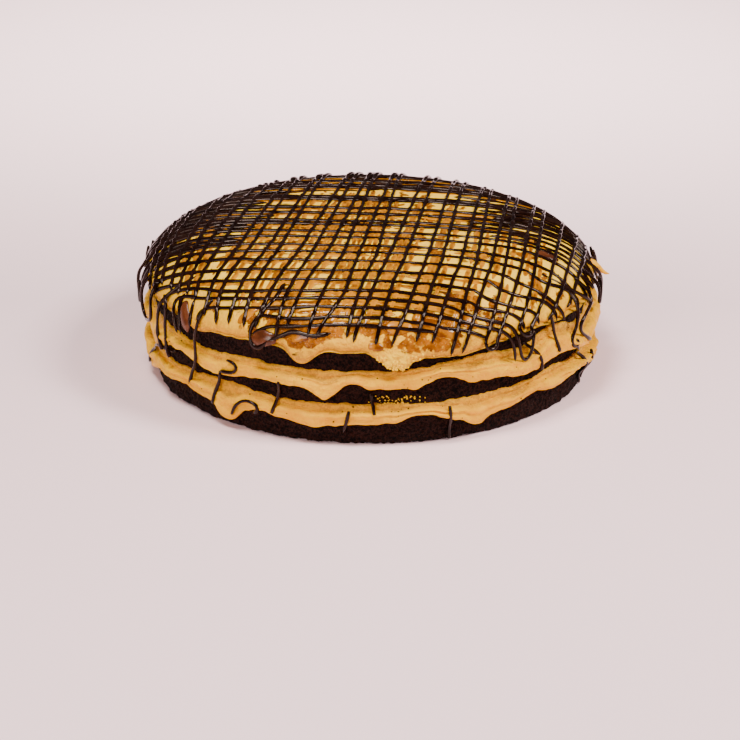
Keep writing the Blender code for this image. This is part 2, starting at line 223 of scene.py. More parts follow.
# Grain: a fine and a coarse pattern mixed, from the piece's own coordinates. Sizes are per metre.
grain, grain_in, grain_out = new_group("grain", ("Fine", "Coarse", "Contrast"), ("Amount", "Relief"))
where = add(grain, "ShaderNodeTexCoord").outputs["Object"]
fine = add(grain, "ShaderNodeTexNoise", Vector=where, Scale=grain_in["Fine"], Detail=3.0).outputs["Fac"]
coarse = add(grain, "ShaderNodeTexNoise", Vector=where, Scale=grain_in["Coarse"], Detail=2.0).outputs["Fac"]
centred = worked(grain, "SUBTRACT", worked(grain, "ADD", fine, coarse), 1.0)
stretched = worked(grain, "MULTIPLY", centred, grain_in["Contrast"])
grain.links.new(worked(grain, "ADD", stretched, 0.5, clamp=True), grain_out.inputs["Amount"])
grain.links.new(fine, grain_out.inputs["Relief"])


def new_material(name, **own):
    """A material and its tree and shader, with the values that are the same all over it by name."""
    made = bpy.data.materials.new(name)
    made.use_nodes = True
    shader = made.node_tree.nodes["Principled BSDF"]
    for key, value in own.items():
        shader.inputs[key.replace("_", " ")].default_value = value
    return made, made.node_tree, shader


def placed(tree, group, **values):
    """A group placed in a material, with this material's own values."""
    return add(tree, "ShaderNodeGroup", set_node_tree=group, **values).outputs


def mixed(tree, amount, first, second):
    """A colour between two others."""
    blend = add(tree, "ShaderNodeMix", set_data_type="RGBA")
    tree.links.new(amount, blend.inputs["Factor"])
    for socket, value in ((blend.inputs[6], first), (blend.inputs[7], second)):
        if isinstance(value, bpy.types.NodeSocket):
            tree.links.new(value, socket)
        else:
            socket.default_value = (*value, 1)
    return blend.outputs[2]


def ranged(tree, value, low, high):
    """A value from 0 to 1 spread between two others."""
    return add(tree, "ShaderNodeMapRange", Value=value, To_Min=low, To_Max=high).outputs[0]


def wired(tree, shader, colour, roughness, relief, depth, strength, **under):
    """Joins a colour, a roughness and a relief of a depth in metres to a material's shader."""
    bump = add(tree, "ShaderNodeBump", Height=relief, Distance=depth, Strength=strength, **under)
    tree.links.new(colour, shader.inputs["Base Color"])
    tree.links.new(roughness, shader.inputs["Roughness"])
    tree.links.new(bump.outputs["Normal"], shader.inputs["Normal"])


# The sponge's colour: dark crumb mixed with paler flecks, which are partly painted glints on the crumb.
sponge_finish, tree, shader = new_material("chocolate_sponge", Specular_IOR_Level=0.12)
crumb = placed(tree, grain, Fine=1500.0, Coarse=620.0, Contrast=4.0)
colour = mixed(tree, crumb["Amount"], CRUMB_DARK, CRUMB_FLECK_AND_GLINT)
wired(tree, shader, colour, ranged(tree, crumb["Amount"], 0.95, 0.68), crumb["Relief"], 1.2 * MM, 0.9)

for name, floor_face, ceiling in (
    ("sponge_bottom", lambda a: 0 * a, plane(BOTTOM_CREAM_FLOOR)),
    ("sponge_middle", plane(BOTTOM_CREAM_FLOOR, CREAM_THICKNESS), plane(MIDDLE_CREAM_FLOOR)),
    ("sponge_top", plane(MIDDLE_CREAM_FLOOR, CREAM_THICKNESS), lambda a: TOP_CREAM_FLOOR + 0 * a),
):

    def side(angle, row):
        turn = np.radians(angle)
        crown = TOP_SPONGE_CROWN if name == "sponge_top" else 0
        inward = np.interp(row, (0, 0.05, 0.1, 0.9, 1), (6 * MM, 1 * MM, 0, 0, 20 * MM))
        r = sponge_radius(angle) - inward
        low, high = floor_face(angle), ceiling(angle)
        up = np.interp(row, (0, 0.05, 0.9, 1), (0, 0.02, 1, 1))
        z = low + up * (high - low) + np.interp(row, (0.9, 1), (0, crown))
        return r * np.cos(turn), r * np.sin(turn), z

    sponge = rolled(f"{name}_crumb", 900, 40, side)
    roughened(sponge, 7 * MM, 2.0 * MM)
    roughened(sponge, 1.6 * MM, 1.6 * MM)
    if name == "sponge_bottom":
        for vert in sponge.data.vertices:
            vert.co.z = max(vert.co.z, 0.0)
    sponge.data.materials.append(sponge_finish)
    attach(sponge, "root")
    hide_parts(name)

# The two layers of caramel buttercream between the sponges, pressed out past them when the cake was
# stacked: each hangs in a soft fold over the sponge below, and is smeared thin up the one above.
CREAM_PROUD = 5.2 * MM
CREAM_PALE, CREAM_DEEP = (0.92, 0.47, 0.002), (0.78, 0.345, 0.001)
# The tone of the smeared upper part of each fold: partly thin cream over crumb, partly painted shade under
# the sponge above.
CREAM_SMEARED_AND_SHADED = (0.66, 0.31, 0.008)
CREAM_SPECK = (0.36, 0.15, 0.02)
CREAM_RELIEF, CREAM_RELIEF_STRENGTH = 0.8 * MM, 0.6
BOTTOM_CREAM_LOW = (13.5, ((-167, -7, 12), (-143, 2, 6), (-127, -8.5, 6), (-117, 2.5, 5),
                           (-103, -3, 9), (-77, 5.5, 9), (-63, -5, 6), (-46, 4.5, 8), (-30, 6, 14)))
BOTTOM_CREAM_HIGH = (24.6, ((-150, -1.5, 10), (-128, 2.2, 16), (-38, 2.6, 14)))
MIDDLE_CREAM_LOW = (34.5, ((-160, -8, 13), (-131, -4.5, 13), (-101, -6.5, 5), (-94, 3.6, 4),
                           (-72, 5.8, 8), (-49, -3.5, 10), (-25, -3, 9)))
MIDDLE_CREAM_HIGH = (44.2, ((-136, -2.2, 16), (-62, 4.4, 26), (-38, 8, 13), (0, 3, 75)))
TOP_CREAM_LOW = (56.2, ((-138, -3.5, 8), (-106.5, -8, 6), (-84, -8.2, 8), (-70, -4.5, 20), (-47, 1, 7)))
BACK_SPAN, BACK_LOBES = (5, 175), 8
BACK_DROOP, BACK_RISE = (-4, 1), (-0.2, 2.5)
# Where a fold's section runs: how far out, and how far up, as shares of its own depth and height.
FOLD = ((-0.15, 0.10), (0.1, 0.03), (0.5, -0.02), (0.88, 0.02), (1.04, 0.14), (1.02, 0.34), (0.97, 0.50),
        (0.84, 0.61), (0.30, 0.64), (0.18, 0.69), (0.3, 0.82), (0.16, 0.96), (-0.15, 1.0))
# Soft swells, lumps and strokes of the spatula: how close round and upwards, where from, how deep.
FOLD_WAVES = ((3.2, 2.2, 5, 0.34), (11, 3.1, 9, 0.24), (2.1, 8, 3, 0.34))


def swell(angle, centre, half_width):
    """1 at the centre, falling smoothly to 0 at half a width to either side."""
    away = np.abs((angle - centre + 180) % 360 - 180) / half_width
    return np.where(away < 1, np.cos(away * math.pi / 2) ** 2, 0.0)


def cream_edge(shape, back_range, seed):
    """Height of a cream edge: its own lobes on the front, drawn ones on the back, small waves all round."""
    height, front = shape
    draw = random.Random(seed)
    first, last = BACK_SPAN
    behind = []
    for k in range(BACK_LOBES):
        at = first + (last - first) * k / (BACK_LOBES - 1)
        behind.append((at, draw.uniform(*back_range), draw.uniform(6, 13)))
    waver, ragged = unevenness(seed, (7, 11, 17, 23), 0.6), unevenness(seed + 9, (37, 53, 71, 97), 0.55)

    def edge(angle):
        lobes = sum(rise * swell(angle, at, width) for at, rise, width in (*front, *behind))
        return (height + lobes + waver(angle) + ragged(angle)) * MM

    return edge


bottom_low = cream_edge(BOTTOM_CREAM_LOW, BACK_DROOP, 21)
bottom_high = cream_edge(BOTTOM_CREAM_HIGH, BACK_RISE, 22)
middle_low = cream_edge(MIDDLE_CREAM_LOW, BACK_DROOP, 23)
middle_high = cream_edge(MIDDLE_CREAM_HIGH, BACK_RISE, 24)
top_low = cream_edge(TOP_CREAM_LOW, BACK_DROOP, 25)
bottom_waver = unevenness(5, (3, 7, 13, 19), 1.3 * MM)
middle_waver = unevenness(6, (3, 8, 12, 17), 1.3 * MM)


def bottom_proud(angle):
    return CREAM_PROUD + bottom_waver(angle) + 1.5 * MM * swell(angle, -15, 40)


def middle_proud(angle):
    return CREAM_PROUD + middle_waver(angle) + 3.0 * MM * swell(angle, -15, 45)


def rounded(corners, turns=3):
    """A broken line with its corners cut off again and again, so that it bends smoothly."""
    line = np.array(corners, float)
    for _ in range(turns):
        cut = np.empty((2 * len(line) - 2, line.shape[1]))
        cut[0::2] = 0.75 * line[:-1] + 0.25 * line[1:]
        cut[1::2] = 0.25 * line[:-1] + 0.75 * line[1:]
        line = np.concatenate([line[:1], cut, line[-1:]])
    return line


def along(line, share):
    """The points at shares of the length of a line."""
    walked = np.concatenate([[0], np.cumsum(np.linalg.norm(np.diff(line, axis=0), axis=1))])
    return [np.interp(share * walked[-1], walked, column) for column in line.T]


# Buttercream: faintly mottled and satin, deeper and specked with crumb where it is smeared thin; the deeper
# tone is partly painted shade.
buttercream, cream_in, cream_out = new_group("buttercream", ("Smear",), ("Colour", "Roughness", "Relief"))
mottle = placed(buttercream, grain, Fine=160.0, Coarse=38.0, Contrast=2.2)["Amount"]
specks = placed(buttercream, grain, Fine=900.0, Coarse=300.0, Contrast=9.0)["Amount"]
strokes = placed(buttercream, grain, Fine=520.0, Coarse=130.0, Contrast=3.0)["Amount"]
specks = ranged(buttercream, specks, -0.45, 0.6)
specked = worked(buttercream, "MULTIPLY", specks, cream_in["Smear"], clamp=True)
whipped = mixed(buttercream, mottle, CREAM_DEEP, CREAM_PALE)
spread = mixed(buttercream, cream_in["Smear"], whipped, CREAM_SMEARED_AND_SHADED)
buttercream.links.new(mixed(buttercream, specked, spread, CREAM_SPECK), cream_out.inputs["Colour"])
buttercream.links.new(ranged(buttercream, mottle, 0.55, 0.36), cream_out.inputs["Roughness"])
buttercream.links.new(strokes, cream_out.inputs["Relief"])


def kept(tree, label):
    """A value that noted keeps at each point, read back in a material."""
    return add(tree, "ShaderNodeAttribute", set_attribute_name=label).outputs["Fac"]


def cream_material(name):
    """A material of buttercream, which lets a little light in, and the buttercream placed in it."""
    made, tree, shader = new_material(
        name, Specular_IOR_Level=0.14, Specular_Tint=(1.0, 0.85, 0.6, 1), Subsurface_Weight=0.12,
        Subsurface_Radius=(1.0, 0.5, 0.2), Subsurface_Scale=3 * MM)
    return made, tree, shader, placed(tree, buttercream, Smear=kept(tree, "smear"))


cream_finish, tree, shader, cream = cream_material("caramel_cream")
wired(tree, shader, cream["Colour"], cream["Roughness"], cream["Relief"], CREAM_RELIEF, CREAM_RELIEF_STRENGTH)


def wandering(x, y, z):
    """A value from about -1 to 1 that wanders smoothly over x, y and z, at each of many points."""
    return np.array([noise.noise(place) for place in np.stack(np.broadcast_arrays(x, y, z), -1).tolist()])


fold_line = rounded(FOLD)
for name, level, low, high, proud in (
    ("cream_bottom", BOTTOM_CREAM_FLOOR, bottom_low, bottom_high, bottom_proud),
    ("cream_middle", MIDDLE_CREAM_FLOOR, middle_low, middle_high, middle_proud),
):

    def fold(angle, row):
        turn = np.radians(angle)
        out, rise = along(fold_line, np.clip((row - 0.06) / 0.88, 0, 1))
        uneven = np.zeros_like(rise)
        for around, upwards, start, size in FOLD_WAVES:
            x, y = around * np.cos(turn), around * np.sin(turn)
            uneven += size * wandering(x, y, upwards * rise + start * level[0] / MM)
        out = out * (1 + uneven * np.sin(np.clip(rise, 0, 1) * math.pi))
        inner = np.interp(row, (0, 0.06, 0.94, 1), (8 * MM, 0, 0, 8 * MM))
        r = sponge_radius(angle) + out * proud(angle) - inner
        skirt = low(angle) + rise * (high(angle) - low(angle))
        slab_low, slab_high = plane(level, 0.2 * MM)(angle), plane(level, CREAM_THICKNESS - 0.2 * MM)(angle)
        z = np.where(row < 0.05, slab_low, np.where(row > 0.95, slab_high, skirt))
        return r * np.cos(turn), r * np.sin(turn), z

    cream = rolled(f"{name}_folds", 760, 46, fold)
    roughened(cream, 14 * MM, 1.0 * MM)
    roughened(cream, 4 * MM, 0.8 * MM)
    x, y, z = corners_of(cream).T
    angle = np.degrees(np.arctan2(y, x))
    share = (z - low(angle)) / (high(angle) - low(angle))
    # The upper part of each fold takes the deeper smeared tone: partly thin cream over crumb, partly painted
    # shade under the sponge above.
    start = 0.6 + 0.06 * np.sin(np.radians(angle) * 9 + level[0] / MM) + 0.05 * np.sin(np.radians(angle) * 23)
    noted(cream, "smear", np.clip((share - start) / 0.1, 0, 1) * 0.8)
    cream.data.materials.append(cream_finish)
    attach(cream, "root")
    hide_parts(name)

# The coat of cream on top: a thick dome over the crowned sponge, drooping past its side in lobes,
# torn open at its long front tip. Caramel sauce has soaked over it in streaks under the chocolate.
DOME_CENTRE = Vector((-1.0, 1.2, 0)) * MM
DOME_RADIUS, CROWN_HEIGHT, RIM_HEIGHT = 137.2 * MM, 85.0 * MM, 42.0 * MM
SHOULDER_POWER, SHOULDER_ROUND = 5.2, 2.5
SAUCE_THICK, SAUCE_THIN = (0.135, 0.031, 0.0003), (0.36, 0.108, 0.0008)
SAUCE_EDGE = (0.70, 0.29, 0.003)
STAIN = (0.038, 0.011, 0.0026)
# Where chocolate has smeared thin between the lines: centre, half width, half depth, strength.
STAINS = ((-106, 22, 38, 86, 0.76), (90, 16, 32, 56, 0.85), (-66, 56, 48, 40, 0.6))
# Behind this half width and half depth, in mm on the flat sheet, the lines have run together.
RUN_TOGETHER = (117, 66)
# Cream torn open at the front, drier and paler than at the side, and cream up on the crown, paler the higher
# it lies.
TORN_PALE, CROWN_PALE = (0.95, 0.55, 0.015), (0.98, 0.585, 0.045)
# Below this height the coat is so steep that its place on the flat sheet is read from the height.
STEEP_BELOW = 66 * MM
# How far the piped lines lean from straight across and straight lengthways.
LEAN, SLOPE = math.radians(9.5), math.radians(3)
# Where the sauce lies: centre on the flat sheet in mm, half width, half depth, strength.
SAUCE_POOLS = (
    (-5, -20, 95, 62, 0.75), (35, 10, 70, 60, 0.6), (-60, -30, 45, 60, 0.55), (28, -131, 38, 18, 1.25),
    (34, -110, 62, 22, 1.1), (-38, -108, 48, 20, 1.05), (-33, -128, 28, 15, 1.2), (80, -60, 36, 45, 0.55),
    (-66, -117, 10, 9, 0.9), (55, -115, 26, 16, 0.9), (10, 60, 80, 30, 0.55), (105, -75, 16, 12, 0.8),
)

# The dome as a turned profile, measured along the surface from the crown, so that piping keeps its length.
share = np.concatenate([np.linspace(0, 0.9, 60), np.linspace(0.9, 1, 240)[1:]])
profile_r = DOME_RADIUS * share
profile_z = RIM_HEIGHT + (CROWN_HEIGHT - RIM_HEIGHT) * (1 - share**SHOULDER_POWER) ** (1 / SHOULDER_ROUND)
profile_s = np.concatenate([[0], np.cumsum(np.hypot(np.diff(profile_r), np.diff(profile_z)))])
slope_r, slope_z = np.gradient(profile_r, profile_s), np.gradient(profile_z, profile_s)


def distance_to(height):
    """How far down the dome from its crown a height is, along the surface."""
    return np.interp(-height, -profile_z, profile_s)


def on_dome(x, y, lift):
    """Where points of a flat sheet come to lie when it is laid over the dome, lifted off it."""
    far = np.maximum(np.hypot(x, y), 1e-9)
    s = np.minimum(far, profile_s[-1])
    r, z = np.interp(s, profile_s, profile_r), np.interp(s, profile_s, profile_z)
    dr, dz = np.interp(s, profile_s, slope_r), np.interp(s, profile_s, slope_z)
    out = r - lift * dz
    return DOME_CENTRE.x + x / far * out, DOME_CENTRE.y + y / far * out, z + lift * dr - (far - s)


def rim_radius(angle, height):
    turn = np.radians(angle)
    r = np.interp(-height, -profile_z, profile_r)
    return r + DOME_CENTRE.x * np.cos(turn) + DOME_CENTRE.y * np.sin(turn)


def coat(angle, row):
    """From the underside, down inside the skirt, round its lip, up the outside and over the dome."""
    turn = np.radians(angle)
    low = top_low(angle)
    inside = sponge_radius(angle) - 0.6 * MM
    outside = rim_radius(angle, low + 4 * MM)
    base = TOP_CREAM_FLOOR + 0 * low
    section = (
        (0, inside - 16 * MM, base + TOP_SPONGE_CROWN),
        (0.012, inside - 14 * MM, base + TOP_SPONGE_CROWN * 0.8),
        (0.024, inside, base + 0.5 * MM), (0.036, inside, low + 1.6 * MM),
        (0.045, inside + 2.2 * MM, low + 0.3 * MM), (0.055, inside + 5.2 * MM, low - 0.1 * MM),
        (0.065, outside - 1.6 * MM, low + 0.5 * MM), (0.078, outside - 0.2 * MM, low + 1.9 * MM),
        (0.09, outside, low + 3.6 * MM),
    )
    r, z = np.zeros_like(row), np.zeros_like(row)
    for (start, start_r, start_z), (end, end_r, end_z) in zip(section, section[1:]):
        here = (row >= start) & (row <= end)
        part = (row - start) / (end - start)
        r = np.where(here, start_r + part * (end_r - start_r), r)
        z = np.where(here, start_z + part * (end_z - start_z), z)
    over = row > end
    far = distance_to(low + 4 * MM) * (1 - np.clip((row - end) / (1 - end), 0, 1))
    dome_x, dome_y, dome_z = on_dome(far * np.cos(turn), far * np.sin(turn), 0)
    return (np.where(over, dome_x, r * np.cos(turn)), np.where(over, dome_y, r * np.sin(turn)),
            np.where(over, dome_z, z))


top_coat = rolled("cream_coat", 620, 150, coat)
x, y, z = corners_of(top_coat).T
angle, out = np.degrees(np.arctan2(y, x)), np.maximum(np.hypot(x, y), 1e-9)
torn = swell(angle, -84, 10) * np.clip((62 * MM - z) / (8 * MM), 0, 1) * np.clip((out / MM - 126) / 5, 0, 1)
tear = top_coat.vertex_groups.new(name="tear")
for k in np.flatnonzero(torn > 0.02):
    tear.add([int(k)], float(torn[k]), "REPLACE")
roughened(top_coat, 26 * MM, 1.6 * MM)
roughened(top_coat, 6 * MM, 0.4 * MM)
roughened(top_coat, 2.2 * MM, 5.5 * MM, "tear")
noted(top_coat, "torn", torn)
# The coat is paler towards the crown.
noted(top_coat, "crown", 0.8 * np.clip((z / MM - 60) / 14, 0, 1))
# The coat takes the deeper tone towards its lower edge.
noted(top_coat, "smear", 0.8 * np.clip((66 * MM - z) / (12 * MM), 0, 1) * (1 - torn))
walked = np.where(z < STEEP_BELOW, distance_to(z), np.interp(out, profile_r, profile_s))
flat_x, flat_y = x * walked / out / MM, y * walked / out / MM


def covered_by(spots, steepness):
    """How strongly oval spots on the flat sheet cover each point of the coat, from 0 to 1."""
    cover = np.zeros_like(flat_x)
    for centre_x, centre_y, half_x, half_y, strength in spots:
        reach = ((flat_x - centre_x) / half_x) ** 2 + ((flat_y - centre_y) / half_y) ** 2
        cover = np.maximum(cover, strength * np.clip(steepness * (1 - reach), 0, 1))
    return cover


noted(top_coat, "sauce", covered_by(SAUCE_POOLS, 1.6) * np.clip((z / MM - 54.5) / 6, 0, 1))
behind = np.hypot(flat_x / RUN_TOGETHER[0], flat_y / RUN_TOGETHER[1])
first = np.where(flat_x > 0, 28, -14)
run = 1.5 * np.clip((behind - 0.93) / 0.12, 0, 1) * np.clip((flat_y - first) / 22, 0, 1)
stain = np.maximum(covered_by(STAINS, 1.5), run)
noted(top_coat, "stain", stain * np.clip((z / MM - 60) / 8, 0, 1))


def stepped(tree, value, low, high):
    """A mask that rises smoothly from 0 to 1 between two values."""
    return add(tree, "ShaderNodeMapRange", Value=value, From_Min=low, From_Max=high,
               set_interpolation_type="SMOOTHSTEP").outputs[0]


coat_finish, tree, shader, cream = cream_material("caramel_cream_with_sauce")
colour = mixed(tree, kept(tree, "torn"), cream["Colour"], TORN_PALE)
colour = mixed(tree, kept(tree, "crown"), colour, CROWN_PALE)
sauce_here = kept(tree, "sauce")
blots = placed(tree, grain, Fine=190.0, Coarse=75.0, Contrast=4.5)["Amount"]
where = add(tree, "ShaderNodeTexCoord").outputs["Object"]
turned = add(tree, "ShaderNodeMapping", Vector=where, Rotation=(0, 0, LEAN)).outputs[0]
streaks = [
    add(tree, "ShaderNodeTexWave", set_bands_direction=way, Vector=turned, Scale=scale, Distortion=9.0,
        Detail=2.0, Detail_Scale=2.5).outputs["Fac"]
    for way, scale in (("X", 17.0), ("Y", 11.0))
]
pattern = worked(tree, "MULTIPLY_ADD", blots, 0.75, worked(tree, "MAXIMUM", *streaks))
level = worked(tree, "MULTIPLY_ADD", sauce_here, 0.92, pattern)
present = worked(tree, "GREATER_THAN", sauce_here, 0.03)
sauce_mask = worked(tree, "MULTIPLY", stepped(tree, level, 1.86, 2.12), present)
depth = placed(tree, grain, Fine=260.0, Coarse=60.0, Contrast=2.5)["Amount"]
colour = mixed(tree, sauce_mask, colour, mixed(tree, depth, SAUCE_THIN, SAUCE_THICK))
lengthened = add(tree, "ShaderNodeMapping", Vector=where, Rotation=(0, 0, SLOPE), Scale=(0.22, 1, 1))
smears = add(tree, "ShaderNodeTexNoise", Vector=lengthened.outputs[0], Scale=210.0, Detail=3.0).outputs["Fac"]
stained = worked(tree, "MULTIPLY_ADD", kept(tree, "stain"), 0.30, smears)
colour = mixed(tree, stepped(tree, stained, 0.66, 0.78), colour, STAIN)
wet = add(tree, "ShaderNodeMix", set_data_type="FLOAT", Factor=sauce_mask, _2=cream["Roughness"], _3=0.13)
cream_relief = add(tree, "ShaderNodeBump", Height=cream["Relief"], Distance=CREAM_RELIEF,
                   Strength=CREAM_RELIEF_STRENGTH).outputs["Normal"]
wired(tree, shader, colour, wet.outputs[0], sauce_mask, 0.6 * MM, 0.8, Normal=cream_relief)
top_coat.data.materials.append(coat_finish)
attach(top_coat, "root")
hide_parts("cream_top")

# The wisp: where the spatula left the rim on the right it drew the cream out to a point.
# It is a cone drawn out, bent down at its tip and buried in the coat at its root.
WISP_ROOT, WISP_TIP = Vector((130.5, -2, 60.5)) * MM, Vector((143.2, -2, 55)) * MM
WISP_RADIUS = 4.6 * MM
bpy.ops.object.select_all(action="DESELECT")
bpy.ops.mesh.primitive_cone_add(
    vertices=24, radius1=WISP_RADIUS, radius2=0.35 * MM, depth=(WISP_TIP - WISP_ROOT).length)
wisp = bpy.context.object
wisp.name = "cream_wisp"
wisp.location = (WISP_ROOT + WISP_TIP) / 2
wisp.rotation_euler = (WISP_TIP - WISP_ROOT).to_track_quat("Z", "Y").to_euler()
bpy.ops.object.transform_apply(location=True, rotation=True, scale=True)
bpy.ops.object.mode_set(mode="EDIT")
bpy.ops.mesh.select_all(action="SELECT")
bpy.ops.mesh.subdivide(number_cuts=5)
bpy.ops.object.mode_set(mode="OBJECT")
for vert in wisp.data.vertices:
    vert.co.z = WISP_ROOT.z + (vert.co.z - WISP_ROOT.z) * 0.9 - 0.9 * MM * math.sin(vert.co.x / MM * 0.5)
roughened(wisp, 4 * MM, 1.2 * MM)
bpy.ops.object.shade_smooth()
noted(wisp, "smear", np.zeros(len(wisp.data.vertices)))
wisp.data.materials.append(cream_finish)
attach(wisp, "root")
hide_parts("cream_top")

# The caramel sauce: warm salted caramel, run over the cream in thin lines both ways before the
# chocolate. It has spread flat and soaked together, with pools where it was poured at the front.
# Half width and height in mm of a line of sauce, across and lengthways.
SAUCE_ACROSS, SAUCE_LENGTHWAYS = (1.75, 0.42), (1.45, 0.40)
# The share of the caramel lines across that is left out, so that they lie in patches.
SHARE_LEFT_OUT = 0.2
# The lines across: place in mm from the centre, back to front, and half the chocolate's width there.
CROSS_LINES = (
    (137, 2.8), (131.5, 2.8), (126, 2.8), (120, 2.6), (114.5, 2.3), (109, 2.1), (103.5, 2.4), (98.5, 2.3),
    (84, 2.2), (74, 2.2), (68, 1.9), (47.5, 2.0), (43, 1.7), (26.5, 1.5), (16, 1.5), (2, 1.4), (-4.5, 1.3),
    (-17.6, 1.1), (-27.3, 1.1), (-41.5, 1.1), (-52.6, 1.0), (-66, 1.05), (-80, 1.0), (-92.5, 1.0),
    (-103.5, 1.0), (-110.5, 0.95), (-118, 0.9), (-125, 0.9), (-129.5, 0.9),
)
# The lines lengthways: sideways place in mm at the front rim, over the front, in the middle and at
# the back, and the height at which the front end stops.
LONG_LINES = (
    (-127, -127, -124, -124, 58), (-121.9, -121, -118, -119.8, 58.5), (-114.2, -113, -112, -115.2, 65),
    (-107, -105, -102.5, -102.8, 65), (-100.4, -99, -95, -96.6, 65), (-96.2, -92, -88, -83.2, 67),
    (-86.5, -86, -79.5, -76.3, 66.6), (-84.4, -77, -68, -65.6, 62), (-72, -69, -60.5, -60.2, 60),
    (-65.4, -58, -50.5, -49.1, 62.5), (-53.1, -49, -43.5, -45, 62), (-46.9, -38, -31.5, -30.1, 62),
    (-32.2, -28, -23.5, -25, 58.5), (-26.5, -20.5, -14.8, -16.8, 65.5), (-13.3, -7.8, -5.5, -12.7, 61),
    (-9.8, 4.5, 3.2, -1.9, 61), (9.6, 11.8, 13.5, 2.7, 63), (13.5, 18.5, 20.6, 19.2, 61),
    (26.7, 28.3, 30.2, 25.9, 60), (35.3, 40.8, 42.6, 37.9, 60), (49, 50, 51.4, 44.7, 61),
    (57.8, 59.3, 62, 57.6, 60), (73.1, 69.6, 71, 62.7, 53), (78.4, 77, 79.3, 75, 53),
    (91, 88, 87.2, 79.8, 57), (94.5, 94.5, 96, 91.8, 57), (107, 105, 104, 98, 60),
    (113, 111.5, 113.6, 112.1, 58), (119, 120, 122, 124.3, 58), (126, 128, 130, 131, 60),
)


def cross_place(offset, x, key):
    """The y of a line across at each x, in mm: it slopes down to the right and bends at both rims."""
    shake = wandering(x / 22, key * 3.7, 0)
    front = np.clip((-offset - 30) / 80, 0, 1)
    droop = 0.001 * np.clip((offset + 90) / 30, 0, 1)
    bend = 1.8e-5 * front * np.clip(-x, 0, None) ** 3 - droop * np.clip(x, 0, None) ** 2
    return offset - x * math.tan(SLOPE) + bend + 1.2 * shake


def cross_line(offset, key, edge, start=-175.0, stop=175.0):
    """A line across as flat points, cut off at a distance from the crown."""
    x = np.arange(start, stop, 2.0)
    y = cross_place(offset, x, key)
    return np.stack([x, y], 1)[np.hypot(x, y) < edge]


def long_line(places, key, front_edge, back_edge, shift=0.0):
    """A line lengthways as flat points from the front to the back."""
    t = np.arange(-185, 175.1, 2.0)
    c = np.interp(t, (-142, -112, -55, 92), places[:4])
    c = np.convolve(np.pad(c, 6, mode="edge"), np.ones(13) / 13, mode="valid") + shift
    c = c + 0.45 * wandering(t / 16, key * 7.3, 9)
    x, y = c * math.cos(LEAN) + t * math.sin(LEAN), -c * math.sin(LEAN) + t * math.cos(LEAN)
    return np.stack([x, y], 1)[np.hypot(x, y) < np.where(t < 0, front_edge, back_edge)]


def height_of_cross(flat):
    """How strongly a line across runs under each flat point, from 0 to 1."""
    away = np.full(len(flat), 99.0)
    for key, (offset, _) in enumerate(CROSS_LINES):
        away = np.minimum(away, np.abs(flat[:, 1] - cross_place(offset, flat[:, 0], key)))
    return np.exp(-((away / 3.0) ** 2))


def swelling(count, key, size, pace=9.0):
    """How a poured line swells and thins along its length, two mm to a step."""
    return 1 + size * wandering(2.0 * np.arange(count) / pace, key * 5.1, 3)


def joined(pieces, name):
    bpy.ops.object.select_all(action="DESELECT")
    for piece in pieces:
        piece.select_set(True)
    bpy.context.view_layer.objects.active = pieces[0]
    bpy.ops.object.join()
    made = bpy.context.object
    made.name = made.data.name = name
    return made


def poured(name, lines, finish, sides=8, under=0.6):
    """Lines lying on the dome as one piece, each of flat points, half widths, heights and lifts in mm."""
    parts = []
    for flat, wide, high, lift in lines:
        ahead = np.gradient(flat, axis=0)
        ahead /= np.maximum(np.linalg.norm(ahead, axis=1, keepdims=True), 1e-6)
        steps = np.arange(len(flat))
        blunt = np.sqrt(np.clip(np.minimum(steps, len(flat) - 1 - steps) / 1.6, 0.02, 1))

        def section(angle, row):
            at = row * (len(flat) - 1)
            x, y, ahead_x, ahead_y, half, tall, up = (
                np.interp(at, steps, column)
                for column in (*flat.T, *ahead.T, wide * blunt, high * blunt, lift)
            )
            turn = np.radians(angle)
            aside = half * np.cos(turn)
            rise = up + tall * np.sin(turn) * np.where(np.sin(turn) < 0, under, 1.0)
            return on_dome((x - aside * ahead_y) * MM, (y + aside * ahead_x) * MM, rise * MM)

        parts.append(rolled(name, sides, len(flat) - 1, section))
    made = joined(parts, name)
    made.data.materials.append(finish)
    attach(made, "root")
    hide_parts("cream_top")
    return made


sauce_finish, tree, shader = new_material("caramel_sauce", Specular_IOR_Level=0.28)
depth = placed(tree, grain, Fine=230.0, Coarse=60.0, Contrast=3.0)["Amount"]
thin = worked(tree, "MULTIPLY_ADD", depth, 0.25, kept(tree, "thin"), clamp=True)
colour = mixed(tree, thin, mixed(tree, depth, SAUCE_THICK, SAUCE_THIN), SAUCE_EDGE)
wired(tree, shader, colour, ranged(tree, depth, 0.09, 0.2), depth, 0.35 * MM, 0.3)

draw = random.Random(77)
laid = []
for key, (offset, _) in enumerate(CROSS_LINES[7:-1]):
    for part in range(2):
        if draw.random() < SHARE_LEFT_OUT:
            continue
        middle, half = draw.uniform(-60, -20) if part == 0 else draw.uniform(25, 65), draw.uniform(30, 52)
        edge = distance_to(draw.uniform(68, 76) * MM) / MM
        flat = cross_line(offset - draw.uniform(2.2, 4.2), key + 7, edge, middle - half, middle + half)
        if len(flat) > 5:
            swell_here = swelling(len(flat), key + 20 * part, 0.9, 7.0)
            wide, high = SAUCE_ACROSS
            laid.append((flat, wide * swell_here, high * swell_here, np.zeros(len(flat))))
poured("caramel_across", laid, sauce_finish, 8, 0.3)

